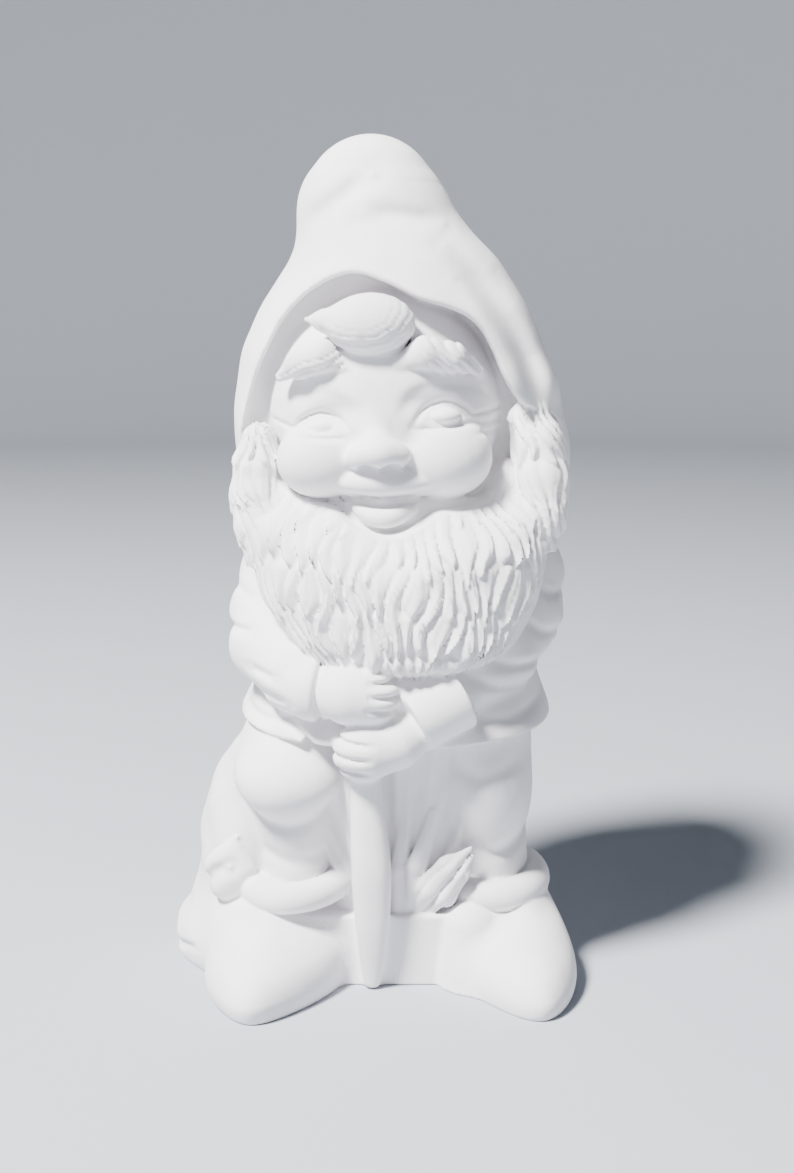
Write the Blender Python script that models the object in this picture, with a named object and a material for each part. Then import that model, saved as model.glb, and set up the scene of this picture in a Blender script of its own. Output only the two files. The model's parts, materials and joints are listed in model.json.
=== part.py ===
"""A garden gnome cast hollow in white bisque, taken apart along the lines where its sculpted forms meet.

The figure stands on a plinth with its boots set into it, holds a stake in both fists, and wears a tall
hood, a hip-length jacket and rolled boots. Every piece is a segment of one thin-walled casting: it is
its own outer form, less the casting's cavity, less the neighbours that lie over it.
Sizes in the tables are millimetres, +X to the viewer's right, -Y towards the viewer, +Z up.
"""

import math

import bmesh
import bpy
from mathutils import Euler, Matrix, Vector

# Driving dimensions, in millimetres.
HEIGHT = 290.0
JOINT_GAP = 0.3
PLINTH_HEIGHT = 25.0
FLOOR_THICKNESS = 6.0
DRAIN_HOLE_RADIUS = 15.0
HEM_HEIGHT = 84.0
SHOULDER_HEIGHT = 146.0
TIP_CENTRE = (-9.0, 8.0)
FACE_CENTRE = Vector((-4.0, -4.0, 196.0))

# Below this sine, a path counts as upright and its ovals are set out from the X axis.
NEARLY_UPRIGHT = 0.5

# Cubic metres. A cut that leaves less than this has failed, and is made again by the other solver.
SMALLEST_BODY = 1e-7

# Mesh fineness.
SIDES = 24
BALL_RINGS = 10

TO_METRES = 0.001
BISQUE_COLOUR = (0.86, 0.85, 0.86, 1.0)
BISQUE_ROUGHNESS = 0.9


def clear_scene():
    """Removes whatever the file holds."""
    for obj in list(bpy.data.objects):
        bpy.data.objects.remove(obj)


def new_object(name, bm):
    """Turns a bmesh in millimetres into an object in metres, with its faces pointing out."""
    bmesh.ops.recalc_face_normals(bm, faces=bm.faces)
    bmesh.ops.scale(bm, vec=Vector((TO_METRES,) * 3), verts=bm.verts)
    mesh = bpy.data.meshes.new(name)
    bm.to_mesh(mesh)
    bm.free()
    obj = bpy.data.objects.new(name, mesh)
    bpy.context.scene.collection.objects.link(obj)
    return obj


def bridged(bm, rings):
    """Joins rings of vertices into a closed skin, with a flat cap at each end."""
    for low, high in zip(rings, rings[1:]):
        for i in range(len(low)):
            j = (i + 1) % len(low)
            bm.faces.new((low[i], low[j], high[j], high[i]))
    bm.faces.new(rings[0][::-1])
    bm.faces.new(rings[-1])


def loft(name, rows, grow=0.0, squareness=2.0):
    """A skin over level superellipses. A row is (x, y, z, half width, half depth, rise in z for each mm of y)."""
    bm = bmesh.new()
    rings = []
    for index, (x, y, z, half_width, half_depth, tilt) in enumerate(rows):
        z += grow * ((index == len(rows) - 1) - (index == 0))
        ring = []
        for side in range(SIDES):
            angle = math.tau * side / SIDES
            across, along = math.cos(angle), math.sin(angle)
            dx = (half_width + grow) * math.copysign(abs(across) ** (2 / squareness), across)
            dy = (half_depth + grow) * math.copysign(abs(along) ** (2 / squareness), along)
            ring.append(bm.verts.new((x + dx, y + dy, z + tilt * dy)))
        rings.append(ring)
    bridged(bm, rings)
    return new_object(name, bm)


def sweep(name, rows, grow=0.0, sides=14):
    """A limb: ovals square to a path. A row is (x, y, z, radius in the level direction, radius in the other)."""
    bm = bmesh.new()
    points = [Vector(row[:3]) for row in rows]
    span = (points[-1] - points[0]).normalized()
    across = span.cross(Vector((0, 0, 1)))
    if across.length < NEARLY_UPRIGHT:
        across = Vector((1, 0, 0))
    last = len(rows) - 1
    rings = []
    for index, (point, row) in enumerate(zip(points, rows)):
        ahead = (points[min(index + 1, last)] - points[max(index - 1, 0)]).normalized()
        level = (across - across.dot(ahead) * ahead).normalized()
        other = level.cross(ahead)
        centre = point + ahead * grow * ((index == last) - (index == 0))
        ring = []
        for side in range(sides):
            angle = math.tau * side / sides
            out = level * math.cos(angle) * (row[3] + grow) + other * math.sin(angle) * (row[4] + grow)
            ring.append(bm.verts.new(centre + out))
        rings.append(ring)
    bridged(bm, rings)
    return new_object(name, bm)


def ball(name, centre, radii, turn=(0, 0, 0), grow=0.0, sides=SIDES):
    """An ellipsoid, turned by Euler angles in degrees about its centre."""
    bm = bmesh.new()
    bmesh.ops.create_uvsphere(bm, u_segments=sides, v_segments=BALL_RINGS, radius=1.0)
    size = Matrix.Diagonal(Vector(radii) + Vector((grow,) * 3)).to_4x4()
    turned = Euler([math.radians(a) for a in turn]).to_matrix().to_4x4()
    bmesh.ops.transform(bm, matrix=Matrix.Translation(Vector(centre)) @ turned @ size, verts=bm.verts)
    return new_object(name, bm)


def pod(name, start, end, level_radius, other_radius, grow=0.0):
    """An ellipsoid stretched from one point to another."""
    start, end = Vector(start), Vector(end)
    along = (end - start).normalized()
    level = along.cross(Vector((0, 0, 1))).normalized()
    bm = bmesh.new()
    bmesh.ops.create_uvsphere(bm, u_segments=16, v_segments=BALL_RINGS, radius=1.0)
    half_length = (end - start).length / 2
    size = Matrix.Diagonal(Vector((level_radius, other_radius, half_length)) + Vector((grow,) * 3))
    axes = Matrix((level, along.cross(level), along)).transposed()
    placed = Matrix.Translation((start + end) / 2) @ (axes @ size).to_4x4()
    bmesh.ops.transform(bm, matrix=placed, verts=bm.verts)
    return new_object(name, bm)


def prism(name, outline, low_y, high_y):
    """An outline of (x, z) points, extruded along Y."""
    bm = bmesh.new()
    near = [bm.verts.new((x, low_y, z)) for x, z in outline]
    far = [bm.verts.new((x, high_y, z)) for x, z in outline]
    bridged(bm, [near, far])
    return new_object(name, bm)


def sound(mesh):
    """Whether a mesh is closed and still has a body."""
    bm = bmesh.new()
    bm.from_mesh(mesh)
    closed = all(len(edge.link_faces) == 2 for edge in bm.edges)
    has_body = bm.calc_volume() > SMALLEST_BODY
    bm.free()
    return closed and has_body


def boolean(obj, others, operation):
    """Joins the other objects to obj, or cuts them from it, and removes them."""
    for other in others:
        modifier = obj.modifiers.new("boolean", "BOOLEAN")
        modifier.operation = operation
        modifier.object = other
        for solver in ("EXACT", "MANIFOLD"):
            modifier.solver = solver
            graph = bpy.context.evaluated_depsgraph_get()
            mesh = bpy.data.meshes.new_from_object(obj.evaluated_get(graph))
            if sound(mesh):
                break
        obj.modifiers.clear()
        obj.data = mesh
        bpy.data.objects.remove(other)
    return obj


def union(name, first, *rest):
    joined = boolean(first, rest, "UNION")
    joined.name = name
    return joined


def keep_main_body(obj):
    """Drops the crumbs that the cuts leave: only the piece with the most faces stays."""
    bm = bmesh.new()
    bm.from_mesh(obj.data)
    bmesh.ops.remove_doubles(bm, verts=bm.verts, dist=1e-6)
    left = set(bm.faces)
    bodies = []
    while left:
        body, front = set(), [left.pop()]
        while front:
            face = front.pop()
            body.add(face)
            for edge in face.edges:
                for other in edge.link_faces:
                    if other in left:
                        left.remove(other)
                        front.append(other)
        bodies.append(body)
    bodies.sort(key=lambda body: sum(face.calc_area() for face in body))
    crumbs = [face for body in bodies[:-1] for face in body]
    bmesh.ops.delete(bm, geom=crumbs, context="FACES")
    bm.to_mesh(obj.data)
    bm.free()


def box_of(obj):
    corners = [Vector(vertex.co) for vertex in obj.data.vertices]
    low = Vector([min(c[i] for c in corners) for i in range(3)])
    high = Vector([max(c[i] for c in corners) for i in range(3)])
    return low, high


def touch(a, b):
    (a_low, a_high), (b_low, b_high) = box_of(a), box_of(b)
    return all(a_low[i] < b_high[i] and b_low[i] < a_high[i] for i in range(3))


# The cavity that the slip leaves when it is poured out.


def cavity():
    """One room that follows the figure, with a bay into the beard; the boots are cast solid."""
    room = loft(
        "cavity",
        [
            (-9, 0, FLOOR_THICKNESS, 34, 24, 0),
            (-9, 0, 30, 38, 26, 0),
            (-6, -2, 60, 39, 27, 0),
            (-2, 0, 85, 41, 30, 0),
            (0, 0, 112, 42, 31, 0),
            (1, 1, 140, 43, 32, 0),
            (1, 3, 160, 40, 32, 0),
            (1, 4, 170, 43, 34, 0),
            (1, 5, 190, 52, 38, 0),
            (-1, 5, 215, 47, 35, 0),
            (-1, 6, 235, 38, 30, 0),
            (-4, 8, 257, 24, 20, 0),
            (-8, 9, 272, 15, 13, 0),
            (-9, 9, 281, 8, 8, 0),
        ],
    )
    beard_bay = ball("beard_bay", (2, -22, 142), (41, 23, 25))
    return union("cavity", room, beard_bay)


# Hair and face.


def forelock(grow=0.0):
    """The curl on the forehead, with its point to the side."""
    rows = [
        (-29, -36, 226.5, 0.8, 0.8),
        (-22, -37, 226.5, 5, 5.5),
        (-11, -37.5, 226, 8.5, 9.5),
        (0, -36, 226, 8, 9.5),
        (7, -34, 226, 2, 3),
    ]
    return sweep("forelock", rows, grow)


def brow_right(grow=0.0):
    return ball("brow_right", (-28.5, -37, 214.5), (11, 7, 5.5), (0, -24, 12), grow, 16)


def brow_left(grow=0.0):
    return ball("brow_left", (14, -38.5, 216.5), (13, 7, 5.5), (0, 18, -12), grow, 16)


def face(grow=0.0):
    """The head's front: skull, muzzle, two full cheeks, eyes and a short nose."""
    skull = ball("skull", FACE_CENTRE, (43.5, 36, 42), (0, 0, 0), grow)
    muzzle = ball("muzzle", (-5, -27, 168), (20, 15.5, 12), (0, 0, 0), grow, 16)
    cheek_right = ball("cheek_right", (-27, -26, 184), (16, 14, 15), (0, 0, 0), grow, 16)
    cheek_left = ball("cheek_left", (17.5, -26, 185), (17.5, 14, 16), (0, 0, 0), grow, 16)
    eye_right = ball("eye_right", (-26, -29, 195.5), (7.5, 7, 4.5), (0, 0, 0), grow, 12)
    eye_left = ball("eye_left", (14, -31, 198), (7.5, 7, 4.5), (0, 0, 0), grow, 12)
    nose = ball("nose", (-5.5, -41, 184), (8, 8, 6), (-12, 0, 0), grow, 12)
    return union("face", skull, muzzle, cheek_right, cheek_left, eye_right, eye_left, nose)


def beard(grow=0.0):
    """One full oval from cheek to cheek, deepest a little below its middle, running up round the mouth."""
    rows = [
        (2, -38, 109.5, 12, 8, 0),
        (2, -33, 114, 27, 18, 0),
        (2, -27, 123, 39, 26.5, 0),
        (2, -23, 136, 47, 31, 0),
        (2, -21, 150, 50, 31, 0),
        (2, -19, 162, 50, 27, 0),
        (2, -17, 171, 48.5, 22, 0),
        (1, -14, 180, 46, 18, 0),
        (0, -12, 188, 43, 12, 0),
    ]
    return loft("beard", rows, grow)


def side_hair_right(grow=0.0):
    return ball("side_hair_right", (-47, -13, 172), (9.5, 13.5, 19), (0, 4, 12), grow, 16)


def side_hair_left(grow=0.0):
    return ball("side_hair_left", (47.5, -14, 178), (11.5, 14, 20), (0, -6, -16), grow, 16)


def hood_form(grow=0.0):
    rows = [
        (2, 4, 159, 54, 41, -0.22),
        (2.5, 4, 170, 57, 43.5, -0.16),
        (1.2, 4, 189, 58, 44, -0.08),
        (0.3, 4, 203, 56.3, 43.5, 0),
        (-0.9, 4, 216, 52.8, 41.5, 0),
        (-1.0, 4, 230, 47, 38, 0),
        (-0.7, 5, 244, 38.2, 32.5, 0),
        (-4, 6, 257, 30.4, 27, 0),
        (-7.4, 7.5, 270, 24, 22, 0),
        (-9, 8, 280, 18, 17, 0),
        (TIP_CENTRE[0], TIP_CENTRE[1], 286.5, 11.5, 11, 0),
        (TIP_CENTRE[0], TIP_CENTRE[1], HEIGHT, 4, 4, 0),
    ]
    return loft("hood", rows, grow)


def face_opening():
    """The arch that the hood leaves for the face. Its floor is a step behind the hood's front edge."""
    outline = [
        (-58.5, 140),
        (58.5, 140),
        (57, 190),
        (53, 197),
        (41, 199),
        (36, 210),
        (30, 222),
        (10, 233),
        (-6, 241),
        (-16, 242.5),
        (-27, 238),
        (-38, 228),
        (-46, 214),
        (-52, 192),
        (-57, 184),
    ]
    return prism("face_opening", outline, -90, -19)


# Arms and what they hold.


def hand_right(grow=0.0):
    """The upper fist, coming from the viewer's left."""
    return ball("hand_right", (-13, -47.5, 104), (12.5, 11, 10), (0, 0, 0), grow, 16)


def hand_left(grow=0.0):
    """The lower fist and its wrist, coming from the viewer's right."""
    rows = [
        (-22, -46, 84, 4, 4),
        (-18, -47, 84.3, 8.5, 8.2),
        (-8, -48, 84.6, 10.5, 9.4),
        (2, -46, 87, 9.5, 8.8),
        (9, -44, 91, 8.5, 8),
    ]
    return sweep("hand_left", rows, grow)


def cuff_left(grow=0.0):
    """The turned-back end of the sleeve, wider than the sleeve."""
    rows = [
        (4.5, -43.5, 95.8, 10, 11.5),
        (11, -42.5, 98.5, 10.5, 12),
        (20, -39.5, 102.5, 10, 11.5),
    ]
    return sweep("cuff_left", rows, grow)


def sleeve_left(grow=0.0):
    upper = pod("upper_arm", (46.5, 3, 156), (47, -5, 102), 13, 13.5, grow)
    fore = pod("forearm", (53, -6, 119), (8, -44, 97), 12, 12, grow)
    return union("sleeve_left", upper, fore)


def sleeve_right(grow=0.0):
    upper = pod("upper_arm", (-43.5, 3, 156), (-46.5, -6, 96), 14, 14, grow)
    fore = pod("forearm", (-55, -5, 108), (-20, -44, 104), 13, 13.5, grow)
    return union("sleeve_right", upper, fore)


def stake(grow=0.0):
    """A stake thickest at its middle, with its foot on the ground."""
    rows = [
        (-10.5, -43, 79, 4.5, 4.5),
        (-10.5, -43, 70, 5.3, 5.3),
        (-9.5, -43.5, 56, 7.2, 6.6),
        (-8.6, -44, 42, 7.8, 7),
        (-8.4, -42.5, 24, 6.8, 6.4),
        (-8.4, -40.5, 9, 4.6, 4.6),
        (-8.5, -40.5, 0.5, 3.2, 3.2),
    ]
    return sweep("stake", rows, grow)


# Clothes.


def jacket(grow=0.0):
    rows = [
        (-0.5, 1, HEM_HEIGHT, 53.5, 41, 0),
        (-0.5, 1, 90, 52.5, 40, 0),
        (-0.5, 1, 100, 48, 37, 0),
        (0, 1, 115, 47, 36, 0),
        (1, 1, 132, 48, 37, 0),
        (1, 1, SHOULDER_HEIGHT, 48, 38, 0),
        (1, 3, 158, 46, 38, 0),
        (1, 4, 170, 42, 36, 0),
    ]
    return loft("jacket", rows, grow)


def trouser_right(grow=0.0):
    """The bent leg, its knee well forward."""
    rows = [
        (-33, -10, 30, 15.5, 26, 0),
        (-33.5, -10, 44, 16.5, 28, 0),
        (-36, -10, 56, 18.5, 33, 0),
        (-37.5, -9, 68, 20.5, 38, 0),
        (-36.5, -7, 78, 21, 38, 0),
        (-30, -3, 88, 20, 34, 0),
    ]
    return loft("trouser_right", rows, grow)


def trouser_left(grow=0.0):
    rows = [
        (32, -6, 30, 15.5, 26, 0),
        (31.5, -5, 44, 16.3, 28, 0),
        (30, -4, 56, 16.6, 32, 0),
        (29.5, -3, 66, 17.5, 34, 0),
        (28, -2, 78, 19.5, 33, 0),
        (27, -2, 88, 20, 31, 0),
    ]
    return loft("trouser_left", rows, grow)


# Boots.


def boot_cuff_right(grow=0.0):
    return ball("boot_cuff_right", (-34, -16, 33), (21, 30, 6), (4, -10, 0), grow)


def boot_cuff_left(grow=0.0):
    return ball("boot_cuff_left", (34, -11, 31), (20.5, 28, 6.5), (2, 4, 0), grow)


def boot_right(grow=0.0):
    """Rows run up the boot: the sole is broad and reaches far forward, and the top is the ankle's width."""
    rows = [
        (-42, -29, 0, 24, 41, 0),
        (-43, -30, 3.5, 28, 45, 0),
        (-42, -28, 10, 28, 44, 0),
        (-39, -24, 18, 26.5, 38, 0),
        (-36, -18, 26, 23, 31, 0),
        (-34, -14, 32, 19, 26, 0),
    ]
    return loft("boot_right", rows, grow, 2.3)


def boot_left(grow=0.0):
    rows = [
        (41, -26, 0, 20, 42, 0),
        (41, -27, 3.5, 23.5, 45, 0),
        (40, -24, 10, 24, 43, 0),
        (37.5, -19, 18, 22.5, 36, 0),
        (35, -13, 26, 19.5, 29, 0),
        (34, -10, 31, 18, 25, 0),
    ]
    return loft("boot_left", rows, grow, 2.3)


# Ground and plants.


def leaf_large(grow=0.0):
    rows = [
        (7, -36, 27, 2.2, 2.5),
        (11, -36.5, 36, 4.2, 3.4),
        (18, -36, 44, 4.6, 3.2),
        (25.5, -35, 49.5, 0.8, 0.8),
    ]
    return sweep("leaf_large", rows, grow, 10)


def grass_blade(name, foot_x, tip_x, tip_z, grow):
    """A narrow blade standing against the web, bowed away from the stake."""
    middle_x = 0.45 * foot_x + 0.55 * tip_x - 1.0
    rows = [
        (foot_x, -34.5, 26, 1.3, 2.6),
        (middle_x, -33.5, 0.5 * (26 + tip_z), 1.7, 3.2),
        (tip_x, -32, tip_z, 0.7, 1.2),
    ]
    return sweep(name, rows, grow, 8)


def grass_blade_tall(grow=0.0):
    return grass_blade("grass_blade_tall", 3.5, 11.5, 61, grow)


def grass_blade_short(grow=0.0):
    return grass_blade("grass_blade_short", 1.2, 0.4, 55, grow)


def leaf_small(grow=0.0):
    return ball("leaf_small", (-60, -20, 34.5), (8.5, 7, 9.5), (0, 20, 20), grow, 12)


def mound(grow=0.0):
    """The bank of earth behind the bent leg, spread out at the ground."""
    rows = [
        (-54, -2, 0, 22, 31, 0),
        (-57, -2, 6, 23, 33, 0),
        (-57, -1, 14, 21, 32, 0),
        (-55, 1, 28, 17.5, 31, 0),
        (-54, 2, 42, 17.5, 31, 0),
        (-52, 2, 58, 16.5, 30, 0),
        (-49, 2, 70, 14, 29, 0),
        (-46, 2, 80, 11, 27, 0),
    ]
    return loft("mound", rows, grow)


def support_web(grow=0.0):
    """The wall that closes the figure behind the legs."""
    rows = [
        (-4, 2, PLINTH_HEIGHT + JOINT_GAP, 46, 33, 0),
        (-4, 2, 50, 45, 32, 0),
        (-3, 2, 70, 46, 33, 0),
        (-2, 1, 90, 47, 34, 0),
    ]
    return loft("support_web", rows, grow, 2.6)


def front_panel(grow=0.0):
    """The wall that closes the figure between the legs in front."""
    rows = [
        (2, -22, PLINTH_HEIGHT + JOINT_GAP, 19, 14, 0),
        (2, -22, 50, 19, 14, 0),
        (2, -23, 70, 19, 13, 0),
        (2, -25, 90, 19, 12, 0),
    ]
    return loft("front_panel", rows, grow, 2.6)


def plinth(grow=0.0):
    rows = [
        (-3, 1, 0, 54, 37, 0),
        (-3, 1, 12, 54, 37, 0),
        (-3, 1, PLINTH_HEIGHT, 52, 35.5, 0),
    ]
    return loft("plinth", rows, grow, 5.0)


# Each form is cut by the grown forms before it, so what stands proud comes first.
FORMS = [
    leaf_large,
    grass_blade_tall,
    grass_blade_short,
    leaf_small,
    forelock,
    brow_right,
    brow_left,
    hand_right,
    hand_left,
    cuff_left,
    stake,
    face,
    beard,
    side_hair_right,
    side_hair_left,
    boot_cuff_right,
    boot_cuff_left,
    boot_right,
    boot_left,
    sleeve_right,
    sleeve_left,
    hood_form,
    jacket,
    trouser_right,
    trouser_left,
    mound,
    plinth,
    front_panel,
    support_web,
]

def bisque():
    """Unglazed earthenware: white and matt."""
    material = bpy.data.materials.new("bisque")
    material.use_nodes = True
    shader = material.node_tree.nodes["Principled BSDF"]
    shader.inputs["Base Color"].default_value = BISQUE_COLOUR
    shader.inputs["Roughness"].default_value = BISQUE_ROUGHNESS
    shader.inputs["Metallic"].default_value = 0.0
    return material


def own_cuts(obj):
    """The openings that belong to one piece alone."""
    if obj.name == "hood":
        boolean(obj, [face_opening()], "DIFFERENCE")
    if obj.name == "plinth":
        reach = 2 * FLOOR_THICKNESS
        ends = [(-9, 0, z, DRAIN_HOLE_RADIUS, DRAIN_HOLE_RADIUS, 0) for z in (-reach, reach)]
        boolean(obj, [loft("drain_hole", ends)], "DIFFERENCE")


def build_pieces():
    """Builds every piece in turn and cuts it to its place in the casting."""
    pieces = []
    for index, form in enumerate(FORMS):
        piece = boolean(form(), [cavity()], "DIFFERENCE")
        for over in FORMS[:index]:
            cutter = over(JOINT_GAP)
            if touch(piece, cutter):
                boolean(piece, [cutter], "DIFFERENCE")
            else:
                bpy.data.objects.remove(cutter)
        own_cuts(piece)
        keep_main_body(piece)
        pieces.append(piece)
    return pieces


def centre_on_floor(pieces):
    """Moves the figure so that the frame's origin is under the middle of its box."""
    boxes = [box_of(piece) for piece in pieces]
    low = [min(box[0][i] for box in boxes) for i in range(3)]
    high = [max(box[1][i] for box in boxes) for i in range(3)]
    shift = Vector((-(low[0] + high[0]) / 2, -(low[1] + high[1]) / 2, -low[2]))
    for piece in pieces:
        piece.data.transform(Matrix.Translation(shift))


def main():
    clear_scene()
    pieces = build_pieces()
    centre_on_floor(pieces)
    material = bisque()
    for piece in pieces:
        piece.data.materials.clear()
        piece.data.materials.append(material)


main()
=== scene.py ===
"""A garden gnome in white bisque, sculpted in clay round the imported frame.

The real figure is one hollow casting, so it is made here as one field of clay and then divided along the
creases between its forms. A form is a function that takes the points x, y, z (millimetres from the figure's
own axis on the ground, +x to the viewer's right, -y to the viewer, +z up) and returns how far each point lies
outside it, negative within. The forms are joined by a smooth minimum, which leaves the soft hollows that
cast slip has where two forms meet.
"""

import json
import math

import bpy
import numpy as np
from bpy.props import FloatProperty, FloatVectorProperty, PointerProperty
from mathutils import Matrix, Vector


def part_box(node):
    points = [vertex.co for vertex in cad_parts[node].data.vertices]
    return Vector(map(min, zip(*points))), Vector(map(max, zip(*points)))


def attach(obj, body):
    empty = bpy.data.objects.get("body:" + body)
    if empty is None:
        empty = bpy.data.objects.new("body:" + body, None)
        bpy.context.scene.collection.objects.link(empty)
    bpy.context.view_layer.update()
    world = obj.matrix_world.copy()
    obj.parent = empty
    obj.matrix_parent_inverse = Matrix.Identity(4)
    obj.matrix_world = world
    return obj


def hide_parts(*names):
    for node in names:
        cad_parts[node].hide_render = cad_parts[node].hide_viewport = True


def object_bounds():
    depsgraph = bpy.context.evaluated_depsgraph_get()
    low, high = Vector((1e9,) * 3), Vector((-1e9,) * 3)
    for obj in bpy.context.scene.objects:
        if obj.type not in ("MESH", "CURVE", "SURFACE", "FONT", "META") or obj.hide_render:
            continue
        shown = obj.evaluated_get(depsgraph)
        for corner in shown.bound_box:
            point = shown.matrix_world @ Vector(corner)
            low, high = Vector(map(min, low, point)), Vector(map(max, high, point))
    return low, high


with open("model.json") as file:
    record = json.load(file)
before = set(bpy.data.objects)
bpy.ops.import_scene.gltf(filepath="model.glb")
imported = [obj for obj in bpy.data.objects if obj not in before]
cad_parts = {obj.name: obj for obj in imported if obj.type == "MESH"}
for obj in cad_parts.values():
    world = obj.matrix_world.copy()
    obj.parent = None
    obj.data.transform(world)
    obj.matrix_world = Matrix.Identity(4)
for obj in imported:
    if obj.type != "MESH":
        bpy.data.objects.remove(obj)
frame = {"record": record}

bl_info = {
    "name": "Bisque garden gnome",
    "version": (1, 0, 0),
    "blender": (4, 5, 0),
    "location": "3D View > Sidebar > Gnome",
    "description": "Sculpts a hollow-cast garden gnome round its packed frame",
    "category": "Add Mesh",
}

CAD_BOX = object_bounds()
# The sculpt is written in millimetres for a figure this tall.
DESIGN_HEIGHT = 290.0
# The figure's upright axis stands at these shares of the width and depth of its box.
AXIS_SHARE = (0.5536, 0.6098)
SCALE = (CAD_BOX[1].z - CAD_BOX[0].z) / DESIGN_HEIGHT
AXIS = Vector(
    (
        CAD_BOX[0].x + AXIS_SHARE[0] * (CAD_BOX[1].x - CAD_BOX[0].x),
        CAD_BOX[0].y + AXIS_SHARE[1] * (CAD_BOX[1].y - CAD_BOX[0].y),
        CAD_BOX[0].z,
    )
)
FAR = 1e3


def clay_box(node, margin=0.0):
    """A frame node's lowest and highest corner in the sculpt's millimetres, widened by a margin."""
    low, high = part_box(node)
    return np.array((low - AXIS) / SCALE) - margin, np.array((high - AXIS) / SCALE) + margin


# Ways to join and carve distances.


def smooth_min(a, b, radius):
    """The lower of a and b, with the corner filled.

    It is less by (radius - |a - b|)^2 / (4 radius) where radius exceeds |a - b|."""
    overlap = np.maximum(radius - np.abs(a - b), 0.0)
    return np.minimum(a, b) - overlap * overlap / (4.0 * radius)


def smooth_max(a, b, radius):
    """The higher of a and b, with the corner rounded: the smooth minimum turned over."""
    return -smooth_min(-a, -b, radius)


def joined(radius, *distances):
    """The smooth minimum of several distances, taken in order."""
    total = distances[0]
    for distance in distances[1:]:
        total = smooth_min(total, distance, radius)
    return total


def blend_between(t, low, high):
    """0 below low, 1 above high, and 3 s^2 - 2 s^3 between, where s is the share of the way.

    With low above high it runs from 1 down to 0."""
    s = np.clip((t - low) / (high - low), 0.0, 1.0)
    return s * s * (3.0 - 2.0 * s)


# Simple solids.


def ellipsoid(x, y, z, centre, radii, turn=0.0):
    """k (k - 1) / |q / r^2| with q the offset from the centre and k = |q / r|; turn is in degrees about y."""
    cosine, sine = math.cos(math.radians(turn)), math.sin(math.radians(turn))
    dx, dy, dz = x - centre[0], y - centre[1], z - centre[2]
    u, w = dx * cosine + dz * sine, dz * cosine - dx * sine
    a, b, c = radii
    k = np.sqrt((u / a) ** 2 + (dy / b) ** 2 + (w / c) ** 2) + 1e-9
    slope = np.sqrt((u / a**2) ** 2 + (dy / b**2) ** 2 + (w / c**2) ** 2) + 1e-9
    return k * (k - 1.0) / slope


def limb(x, y, z, path, flat=1.0):
    """The smooth least, over a path's legs, of the distance to a leg less a radius that runs from end to end.

    A path row is (x, y, z, radius). flat below 1 makes the section that share as deep in y as it is wide."""
    crease = 1.5
    nearest = np.full_like(x, FAR)
    for (ax, ay, az, ar), (bx, by, bz, br) in zip(path, path[1:]):
        dx, dy, dz = bx - ax, by - ay, bz - az
        along = ((x - ax) * dx + (y - ay) * dy + (z - az) * dz) / (dx * dx + dy * dy + dz * dz)
        along = np.clip(along, 0.0, 1.0)
        gap = np.sqrt(
            (x - ax - along * dx) ** 2 + ((y - ay - along * dy) / flat) ** 2 + (z - az - along * dz) ** 2
        )
        nearest = smooth_min(nearest, gap - (ar + along * (br - ar)), crease)
    return nearest


def smooth_table(rows, steps=12):
    """The rows of a table with further rows between them, on Catmull-Rom curves through the rows."""
    rows = np.array(rows, float)
    padded = np.vstack([2 * rows[0] - rows[1], rows, 2 * rows[-1] - rows[-2]])
    t = (np.arange(steps) / steps)[:, None, None]
    a, b, c, d = padded[:-3], padded[1:-2], padded[2:-1], padded[3:]
    curve = 0.5 * (
        2 * b + (c - a) * t + (2 * a - 5 * b + 4 * c - d) * t**2 + (3 * b - a - 3 * c + d) * t**3
    )
    return np.vstack([curve.transpose(1, 0, 2).reshape(-1, rows.shape[1]), rows[-1:]])


def loft(x, y, z, rows, power=2.0, cap=4.0, lean=0.0, taper=0.0):
    """Level superellipses through the rows of a table: (z, centre x, centre y, half width, half depth).

    With u and v the offsets over the half sizes and g = (|u|^power + |v|^power)^(1/power), the distance is
    g (g - 1) / |(u / width, v / depth)|, times the cosine of the side's slope. cap rounds the two ends, lean
    moves the front of each section sideways, and taper narrows it there."""
    table = smooth_table(rows)
    height = table[:, 0]
    cx, cy, width, depth = (np.interp(z, height, table[:, column]) for column in range(1, 5))
    slope = np.interp(z, height, np.gradient(0.5 * (table[:, 3] + table[:, 4]), height))
    v = (y - cy) / depth
    ahead = np.maximum(-v, 0.0)
    u = (x - cx - lean * ahead) / (width * (1.0 - taper * np.minimum(ahead, 1.2) ** 2))
    g = (np.abs(u) ** power + np.abs(v) ** power) ** (1.0 / power) + 1e-9
    side = g * (g - 1.0) / (np.sqrt((u / width) ** 2 + (v / depth) ** 2) + 1e-9)
    side = side / np.sqrt(1.0 + slope * slope)
    return smooth_max(smooth_max(side, height[0] - z, cap), z - height[-1], cap)


def ring(x, y, z, centre, radii, tube, tilt):
    """A tube round an ellipse: the hypotenuse of the ellipse's distance and the height above it, less tube.

    tilt is the rise of the ring for each millimetre of x and of y."""
    u, v = (x - centre[0]) / radii[0], (y - centre[1]) / radii[1]
    g = np.sqrt(u * u + v * v) + 1e-9
    side = g * (g - 1.0) / (np.sqrt((u / radii[0]) ** 2 + (v / radii[1]) ** 2) + 1e-9)
    rise = z - centre[2] - tilt[0] * (x - centre[0]) - tilt[1] * (y - centre[1])
    return np.sqrt(side * side + rise * rise) - tube


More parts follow.
